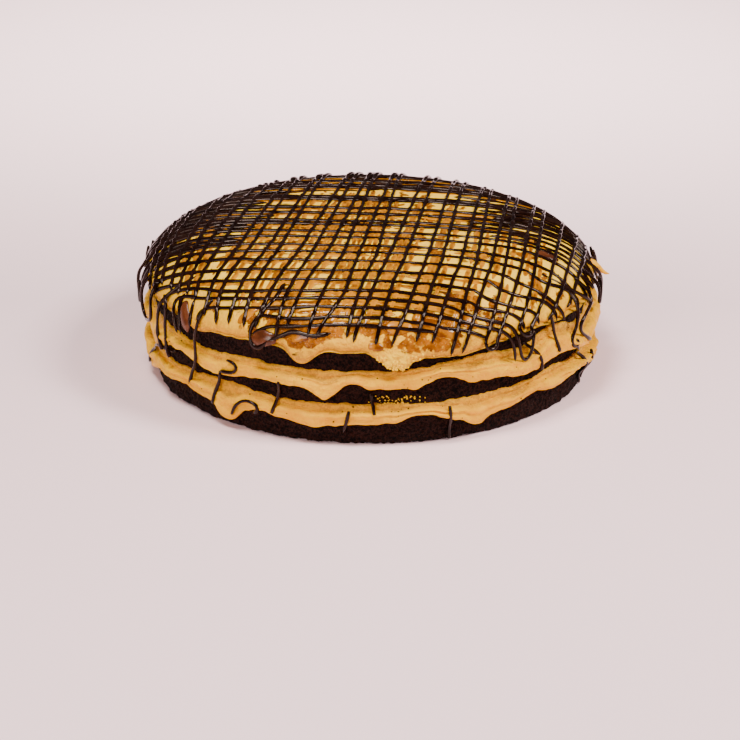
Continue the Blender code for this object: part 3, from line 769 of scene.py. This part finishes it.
laid = []
for key, places in enumerate(LONG_LINES[3:-3]):
    for shift in (3.4, -3.0):
        if draw.random() < (0.1 if shift > 0 else 0.62):
            continue
        front_edge = distance_to(draw.uniform(64, 80) * MM) / MM
        flat = long_line(places, key + 3, front_edge, draw.uniform(44, 70), shift)
        swell_here = swelling(len(flat), key + 90 + shift, 0.9, 8.0)
        wide, high = SAUCE_LENGTHWAYS
        laid.append((flat, wide * swell_here, high * swell_here, np.full(len(flat), 0.08)))
poured("caramel_lengthways", laid, sauce_finish, 8, 0.3)

# The dark chocolate: melted, piped from a bag with a cut tip, first to and fro across the cake, then
# lengthways over that. It lies rounded, runs wide at the back and left, and turns back over the rim.
CHOCOLATE_DEEP, CHOCOLATE_PALE = (0.0045, 0.0013, 0.0009), (0.0135, 0.0044, 0.0028)
# Half the width of the short lines and bends, how much wider the bag ran across, and half a long line.
NARROW, RUN_WIDER, LONG_HALF_WIDTH = 1.05, 1.25, 1.12
# Extra lines across, piped only over one side: place, from and to in mm.
SHORT_LINES = (
    (92, -175, -52), (59, -175, -48), (35, -175, -62), (9, -175, -55), (-11, -175, -66), (-34, -175, -72),
    (91, 60, 175), (57, 52, 175), (34, 66, 175), (10, 58, 175), (-12, 70, 175), (50, 78, 175), (22, 74, 175),
)
# How the front lines across end, as flat points: those on the right bend down over the rim.
RIGHT_ENDS = {
    -52.6: ((98, -71), (104.7, -70.1), (111.6, -66.8), (118.7, -65.1), (125.4, -63.9), (128.5, -65.8),
     (129.5, -69)),
    -66: ((84, -80), (95.1, -81), (104, -81.5), (109.6, -82.1), (114.4, -82.9), (118.1, -83.7), (120, -86)),
    -80: ((73.7, -91), (85.9, -91.1), (95.4, -87.6), (100.9, -85.8), (106.3, -86), (110, -86.9),
     (112.4, -88.1), (114, -91)),
    -92.5: ((65.1, -101), (74, -101.4), (83.3, -100.5), (91.1, -98), (96.8, -96.9), (100, -99.7),
     (101.5, -102)),
    -103.5: ((62.4, -109.4), (69.5, -107.7), (79.4, -105.7), (84, -105.6), (88.4, -106.1), (91.4, -108.4),
     (92, -111)),
    -110.5: ((52.4, -115.5), (60, -115.8), (67.4, -115.2), (76.6, -113.3), (83.6, -112.8), (88.7, -116),
     (92.2, -119.3), (96.7, -123.5), (100.8, -125), (103.7, -122.8), (104.3, -118.2), (101.5, -111.9),
     (98.8, -106)),
    -118: ((52.4, -120.6), (62, -120.4), (69.7, -119.1), (76.3, -117.8), (81.5, -118), (86.4, -120.1),
     (91.3, -124.7), (95, -128.8)),
    -125: ((50, -125.8), (56.7, -125.1), (64.4, -125.1), (69.2, -125.2)),
    -129.5: ((20, -131), (30, -130.5), (40, -130)),
}
LEFT_ENDS = {
    -103.5: ((-94, -81.8), (-103.8, -76.2), (-112.3, -71.8), (-118.5, -68.3), (-122.7, -69.4),
     (-125.4, -70.2)),
    -110.5: ((-62, -103.3), (-80, -96.5), (-97.6, -87.9), (-104.2, -81.6), (-109.2, -78.9), (-113.9, -76.9),
     (-117.6, -80), (-119.3, -86), (-121.9, -91.3), (-122.5, -95.2)),
    -118: ((-62.9, -109.5), (-73, -106.1), (-82.2, -102.3), (-91.8, -97.3), (-96.7, -96.4), (-100.2, -97.7),
     (-102.9, -99.4)),
    -125: ((-53, -118), (-62.6, -114.3)),
    -129.5: ((-30.8, -128.2), (-40.5, -126.7), (-48.6, -125), (-53.3, -123.8), (-58.7, -123), (-63.8, -123.2),
     (-68, -124.2)),
}
FRONT_ROUTES = (
    ((-47, -92), (-51, -104), (-59, -113), (-67.8, -120.1), (-69.7, -125.4), (-69.6, -129.5), (-67, -132.6),
     (-63.5, -132.6), (-59.6, -130.8), (-54.3, -130.5), (-49.2, -130), (-43.6, -129), (-39, -131),
     (-32.9, -133.7), (-26.5, -134), (-21.3, -133.4)),
    ((-107, -77.5), (-110, -79.5), (-113.5, -85), (-116.5, -92), (-119.5, -97.5)),
    ((-101, -85.9), (-103.2, -90.3), (-106.4, -95.2), (-109.7, -99.8)),
)

chocolate_finish, tree, shader = new_material(
    "dark_chocolate", Specular_IOR_Level=0.17, Specular_Tint=(0.85, 0.58, 0.5, 1), Coat_Weight=0.12,
    Coat_Roughness=0.06)
marbling = placed(tree, grain, Fine=320.0, Coarse=60.0, Contrast=3.0)
colour = mixed(tree, marbling["Amount"], CHOCOLATE_DEEP, CHOCOLATE_PALE)
wired(tree, shader, colour, ranged(tree, marbling["Amount"], 0.06, 0.15), marbling["Relief"], 0.4 * MM, 0.15)


def turn_back(first, second, reach, count=9):
    """The bend of a line from one point beyond the rim to the next, on the flat sheet."""
    t = np.linspace(0, 1, count)[1:-1, None]
    out, home = (point * (1 + 1.3 * reach / np.linalg.norm(point)) for point in (first, second))
    return (1 - t) ** 3 * first + 3 * (1 - t) ** 2 * t * out + 3 * (1 - t) * t**2 * home + t**3 * second


def evened(flat):
    """The same line with a point every two mm."""
    count = max(4, int(np.linalg.norm(np.diff(flat, axis=0), axis=1).sum() / 2.0))
    return np.stack(along(flat, np.linspace(0, 1, count)), 1)


draw = random.Random(41)
threads, snake, wides = [], [], []
for key, (offset, wide) in enumerate(CROSS_LINES):
    flat = cross_line(offset, key, distance_to(draw.uniform(57, 66) * MM) / MM)
    if offset in RIGHT_ENDS:
        ending = np.array(RIGHT_ENDS[offset])
        flat = np.concatenate([flat[flat[:, 0] < ending[0, 0] - 5], ending])
        if offset in LEFT_ENDS:
            ending = np.array(LEFT_ENDS[offset])
            flat = np.concatenate([ending[::-1], flat[flat[:, 0] > ending[0, 0] + 5]])
        threads.append((rounded(flat, 2), np.full(2, wide)))
        continue
    if len(flat) < 4:
        continue
    flat = flat if key % 2 else flat[::-1]
    if snake and draw.random() > 0.15:
        bend = turn_back(snake[-1][-1], flat[0], draw.uniform(3, 10))
        snake += [bend, flat]
        wides += [np.full(len(bend), NARROW), np.full(len(flat), wide)]
        continue
    if snake:
        threads.append((np.concatenate(snake), np.concatenate(wides)))
    snake, wides = [flat], [np.full(len(flat), wide)]
threads.append((np.concatenate(snake), np.concatenate(wides)))
for key, (offset, start, stop) in enumerate(SHORT_LINES):
    flat = cross_line(offset, key + 50, distance_to(draw.uniform(57, 66) * MM) / MM, start, stop)
    threads.append((flat, np.full(2, 1.0)))
threads += [(rounded(route, 2), np.full(2, NARROW)) for route in FRONT_ROUTES]
laid = []
for key, (flat, wide) in enumerate(threads):
    even = evened(flat)
    wide = np.interp(np.linspace(0, 1, len(even)), np.linspace(0, 1, len(wide)), wide)
    wide = wide * swelling(len(even), key, 0.4) * RUN_WIDER
    left = np.clip((-even[:, 0] - 35) / 55, 0, 1) * np.clip((even[:, 1] + 75) / 40, 0, 1)
    wide = wide * (1 + 0.6 * left)
    high = 0.95 + 0.25 * (wide - 1)
    laid.append((even, wide, np.minimum(high, 1.4), np.full(len(even), 0.35)))
poured("cross_lines", laid, chocolate_finish)

pairs = [long_line(places, key, distance_to(places[4] * MM) / MM, distance_to(draw.uniform(56, 68) * MM) / MM)
         for key, places in enumerate(LONG_LINES)]
laid = []
snake = [pairs[0]]
for key in range(1, len(pairs)):
    flat = pairs[key]
    at_back = key % 2 == 0
    if at_back:
        snake += [turn_back(snake[-1][-1], flat[-1], draw.uniform(2, 7)), flat[::-1]]
    elif key in (25, 27):
        snake += [turn_back(snake[-1][-1], flat[0], 5.0), flat]
    else:
        laid.append(np.concatenate(snake))
        snake = [flat]
laid.append(np.concatenate(snake))
lines = []
for key, flat in enumerate(laid):
    even = evened(flat)
    wide = LONG_HALF_WIDTH * swelling(len(even), key + 60, 0.32)
    at_rim = np.clip((even[:, 1] - 85) / 20, 0, 1)
    lift = 0.45 + 0.85 * height_of_cross(even) + 1.2 * at_rim
    lines.append((even, wide * (1 + 0.6 * at_rim), 0.95 * wide, lift))
poured("long_lines", lines, chocolate_finish, 10, 0.9)

# The runs down the side: chocolate that slid over the rim, hung in loops or fell in threads across
# the layers. Each lies on what it passes and hangs free under the rim, with a bead at its end.
# Each run: how far out from the axis it hangs free, in mm (0 where it lies on the side), and its points.
SIDE_THREADS = (
    (139.5, ((-174, 66), (-175, 56), (-175, 46), (-172, 42.5), (-170, 45), (-169, 58))),
    (139.3, ((-163.5, 67), (-165.5, 50), (-165.5, 43), (-162.3, 40), (-158, 42.5), (-156, 48), (-156, 55),
     (-157.5, 67))),
    (138.6, ((-144.4, 79), (-148, 72), (-149.8, 65.6), (-151.1, 58.4), (-152.4, 48), (-154.1, 38.6),
     (-153.5, 36), (-152.7, 29))),
    (137.6, ((-150.7, 64), (-148.8, 61.3), (-148.2, 56.3), (-149, 47.7), (-150.1, 37.5), (-150.1, 31.3),
     (-149.1, 27))),
    (0, ((-167, 8.4), (-165.4, 15), (-161, 23), (-156.2, 29.3), (-154, 30), (-150.8, 30.3), (-148.5, 30.4))),
    (137, ((-134.2, 71.2), (-135, 65.9), (-135.2, 58), (-136, 51.4), (-136.5, 45), (-136.8, 36.8),
     (-137.5, 30.8), (-139.1, 26.4), (-140.1, 19))),
    (0, ((-126.9, 40.8), (-125, 40.6), (-123.9, 38.9), (-124.2, 35.7), (-125.7, 34.2), (-127.6, 33.7),
     (-128.5, 33.7))),
    (0, ((-128.9, 33), (-129.7, 25.5), (-130.5, 20.1), (-131.1, 12.9))),
    (0, ((-125, 10.1), (-124.2, 14.9), (-122.6, 18.9), (-120.9, 20.5), (-119.2, 20.1), (-117.8, 18.4),
     (-117.8, 15.3), (-118.7, 14.3))),
    (0, ((-112, 36), (-112.6, 27), (-114, 16))),
    (0, ((-95, 22), (-95.6, 15), (-96.4, 9))),
    (0, ((-90, 32), (-89.4, 26), (-89, 20))),
    (0, ((-71, 23), (-70.5, 14), (-70, 1.2))),
    (0, ((-49.6, 50.3), (-47.5, 46.6), (-45.7, 42.3), (-44.7, 38), (-44.6, 32))),
    (0, ((-40.7, 62), (-39.3, 52.2), (-38.7, 45.6), (-37.6, 38))),
    (137.6, ((-27.8, 74.3), (-29.2, 66.3), (-30.4, 55), (-31.1, 46.4), (-33, 41.7), (-32.4, 37.5),
     (-30.7, 35.5), (-29.6, 37.1), (-30.9, 40))),
    (0, ((-31, 36.5), (-28, 30.3), (-25.1, 25.9), (-22.5, 18), (-20, 9), (-18.5, 1.2))),
    (138.4, ((-22.5, 70.1), (-21.1, 62.8), (-21.6, 57), (-25.2, 54), (-27.7, 51.1), (-29.3, 48.1),
     (-28.5, 43.1), (-25.7, 37.6), (-23.3, 34.2))),
    (138, ((-32.4, 76.6), (-28.8, 69), (-25.2, 61.8), (-21.7, 55.2))),
    (138.6, ((-15, 78), (-14, 68), (-13.5, 58), (-14, 50), (-12.5, 47), (-11, 50), (-10, 62))),
    (138.2, ((-8, 74), (-6, 64), (-5, 55), (-5.5, 47))),
    (138.0, ((-19, 80), (-18, 70), (-17, 60))),
    (0, ((-17.5, 22), (-16.5, 12), (-17, 3))),
)
# How thick a thread is, how far its middle stays off what it lies on, and how blunt its ends are.
THREAD_RADIUS, THREAD_REST, THREAD_END = 1.1 * MM, 0.5 * MM, 0.8
# Above this height the coat alone carries the threads.
COAT_ALONE = 62 * MM


def thickness(points, key):
    """How the thread swells and thins along its length and towards its ends, as shares of its radius."""
    step = np.linalg.norm(np.diff(points, axis=0), axis=1)
    walked = np.concatenate([[0], np.cumsum(step)]) / MM
    radii = 1 + 0.25 * wandering(walked / 9, key * 5.1, 3)
    for gone in (walked, walked[-1] - walked):
        radii *= np.clip(THREAD_END + (1 - THREAD_END) * gone / 2.5, 0, 1)
    return radii


def side_radius(angle, height):
    """Radius of whatever shows at the side at an angle and a height."""
    if height > max(COAT_ALONE, top_low(angle)):
        return float(rim_radius(angle, height))
    r = sponge_radius(angle)
    for low, high, proud in (
        (bottom_low, bottom_high, bottom_proud), (middle_low, middle_high, middle_proud),
    ):
        up = (height - low(angle)) / (high(angle) - low(angle))
        out = float(np.interp(up, (-0.02, 0.1, 0.34, 0.6, 1), (0, 0.95, 1, 0.62, 0)))
        r = max(r, sponge_radius(angle) + out * proud(angle))
    if height > top_low(angle):
        r = max(r, float(rim_radius(angle, height)))
    return float(r)


def evened_out(radii):
    return np.convolve(np.pad(radii, 2, mode="edge"), np.ones(5) / 5, mode="valid")


def hung(route, free=0.0):
    """A run down the side through (angle, mm up) points, bridging hollows and hanging free at its top."""
    line = rounded(route)
    count = max(8, int(np.linalg.norm(np.diff(line, axis=0) * (2.3, 1), axis=1).sum() / 1.6))
    angles, heights = along(line * (2.3, 1), np.linspace(0, 1, count))
    angles = angles / 2.3
    radii = []
    for a, h in zip(angles, heights):
        bridged = min(max((66 - h) / 8, 0), 1)
        radii.append(max(side_radius(a, (h + d * bridged) * MM) for d in (-3, -1.5, 0, 1.5, 3)))
    sunk = 2.2 * MM * np.clip((heights - 70) / 8, 0, 1)
    radii = evened_out(radii) + THREAD_REST - sunk
    below = np.clip((70 - heights) / 16, 0, 1)
    hanging = (free - 0.12 * np.clip(50 - heights, 0, None)) * MM
    radii = radii + below * below * (3 - 2 * below) * np.maximum(hanging - radii, 0)
    radii = evened_out(radii)
    turn = np.radians(angles)
    return np.stack([radii * np.cos(turn), radii * np.sin(turn), heights * MM], 1)


laid = []
for k, (free, route) in enumerate(SIDE_THREADS):
    points = hung(route, free)
    radii = thickness(points, k + 200)
    drop = np.linspace(0, 1, len(points))
    laid.append((points, radii * (0.92 + 0.30 * np.exp(-(((drop - 0.96) / 0.06) ** 2)))))
draw = random.Random(31)
for k in range(9):
    at, half, low = 5 + 170 * (k + draw.uniform(0.2, 0.8)) / 9, draw.uniform(1.2, 2.2), draw.uniform(45, 52)
    loop = ((at - half, 63), (at - half * 0.8, low + 4), (at, low), (at + half * 0.8, low + 4),
            (at + half, 63))
    points = hung(loop, draw.uniform(137, 139))
    laid.append((points, thickness(points, k + 300)))

bpy.ops.object.select_all(action="DESELECT")
bpy.ops.curve.primitive_nurbs_path_add()
bpy.context.object.name = bpy.context.object.data.name = "side_threads"
curve = bpy.context.object.data
curve.splines.clear()
curve.bevel_depth, curve.bevel_resolution, curve.use_fill_caps = THREAD_RADIUS, 3, True
for points, radii in laid:
    spline = curve.splines.new("POLY")
    spline.points.add(len(points) - 1)
    spline.points.foreach_set("co", np.concatenate([points, np.ones((len(points), 1))], axis=1).ravel())
    spline.points.foreach_set("radius", radii)
bpy.ops.object.convert(target="MESH")
made = bpy.context.object
sealed(0.02 * MM)
made.data.materials.clear()
made.data.materials.append(chocolate_finish)
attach(made, "root")
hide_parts("cream_top")

# The puddles: milk chocolate that pooled between dark threads at the front and right, and drops of
# caramel sauce thick enough to stand up. Each is a ball pressed flat onto the dome.
MILK_COLOUR, MILK_LIGHT = (0.055, 0.014, 0.0045), (0.125, 0.034, 0.0105)
# Each puddle: name, centre on the flat sheet, half length, half width, turned by, half thickness, in mm.
PUDDLES = (
    ("milk_chocolate_left", (-110.5, -91.5), 9.5, 4.2, 77, 1.6),
    ("milk_chocolate_front", (-61.5, -128.5), 8.2, 4.6, -18, 1.5),
    ("milk_chocolate_right", (103.5, -38), 7.5, 4.0, -10, 1.1),
)
POOLS = (
    ("caramel_pool_right", (38, -127.5), 12, 4.6, -12, 0.85),
    ("caramel_pool_right_outer", (57, -119), 6, 3.3, -20, 0.8),
    ("caramel_pool_middle", (17, -130), 8, 4.2, 5, 0.85),
    ("caramel_pool_left", (-33, -131), 12, 4.0, 12, 0.9),
    ("caramel_pool_left_outer", (-69, -112), 8, 3.0, 25, 0.85),
    ("caramel_pool_rim", (3.7, -142), 4.5, 2.6, 0, 1.0),
)


def puddle(name, centre, half_long, half_wide, turned, thick, finish, slot):
    bpy.ops.object.select_all(action="DESELECT")
    bpy.ops.mesh.primitive_ico_sphere_add(subdivisions=5, radius=1)
    made = bpy.context.object
    made.name = made.data.name = name
    x, y, z = corners_of(made).T
    turn = np.arctan2(y, x)
    wobble = 1 + 0.22 * wandering(np.cos(turn) * 1.3, np.sin(turn) * 1.3, half_long)
    x, y = x * half_long * wobble, y * half_wide * wobble
    a = math.radians(turned)
    flat_x = centre[0] + x * math.cos(a) - y * math.sin(a)
    flat_y = centre[1] + x * math.sin(a) + y * math.cos(a)
    points = on_dome(flat_x * MM, flat_y * MM, z * thick * MM)
    made.data.vertices.foreach_set("co", np.stack(points, 1).ravel())
    sealed()
    made.data.materials.append(finish)
    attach(made, "root")
    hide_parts("cream_top")


milk_finish, tree, shader = new_material("milk_chocolate", Specular_IOR_Level=0.3)
milky = placed(tree, grain, Fine=240.0, Coarse=70.0, Contrast=2.6)
colour = mixed(tree, milky["Amount"], MILK_COLOUR, MILK_LIGHT)
wired(tree, shader, colour, ranged(tree, milky["Amount"], 0.16, 0.3), milky["Relief"], 0.5 * MM, 0.25)
for sizes in PUDDLES:
    puddle(*sizes, milk_finish, "dark_chocolate")
for sizes in POOLS:
    puddle(*sizes, sauce_finish, "caramel_sauce")

# The crumbs: bits of sponge rubbed off onto the cream when the layers were set down, and flakes of
# dry cream on the middle sponge at the front. Each is a small rough lump pressed into the side.
CRUMBS_ON_CREAM, CREAM_FLAKES, TORN_LUMPS = 150, 60, 120
CRUMB_SIZES, LUMP_SIZES = (0.25, 0.6), (0.3, 0.85)


def scattered(name, count, size, place, finish, nodes, seed):
    """Many small lumps as one piece: place draws an angle and a height for each."""
    draw = random.Random(seed)
    lumps = []
    for _ in range(count):
        angle, height = place(draw)
        r = side_radius(angle, height) + 0.1 * MM
        spot = (r * math.cos(math.radians(angle)), r * math.sin(math.radians(angle)), height)
        bpy.ops.mesh.primitive_ico_sphere_add(subdivisions=1, radius=draw.uniform(*size) * MM, location=spot)
        lump = bpy.context.object
        for vert in lump.data.vertices:
            vert.co *= draw.uniform(0.65, 1.25)
        lumps.append(lump)
    made = joined(lumps, name)
    bpy.ops.object.transform_apply(location=True, rotation=True, scale=True)
    made.data.materials.append(finish)
    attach(made, "root")
    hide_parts(*nodes)
    return made


def on_cream(draw):
    angle = draw.uniform(-180, 180)
    low, high = draw.choice(((bottom_low, bottom_high), (middle_low, middle_high)))
    share = draw.uniform(0.05, 0.95)
    return angle, float(low(angle) + share * (high(angle) - low(angle)))


def under_middle_cream(draw):
    angle = draw.gauss(-82, 3.5)
    return angle, float(bottom_high(angle)) + draw.uniform(-0.5, 4.5) * MM


def on_torn_tip(draw):
    angle = draw.gauss(-84.5, 2.7)
    return angle, float(top_low(angle)) + draw.triangular(0.2, 6.5, 1.2) * MM


scattered("sponge_crumbs", CRUMBS_ON_CREAM, CRUMB_SIZES, on_cream, sponge_finish,
          ("cream_bottom", "cream_middle"), 7)
for lumps in (
    scattered("cream_flakes", CREAM_FLAKES, CRUMB_SIZES, under_middle_cream, coat_finish, ("cream_bottom",),
              8),
    scattered("torn_cream_lumps", TORN_LUMPS, LUMP_SIZES, on_torn_tip, coat_finish, ("cream_top",),
              9),
):
    noted(lumps, "torn", np.ones(len(lumps.data.vertices)))
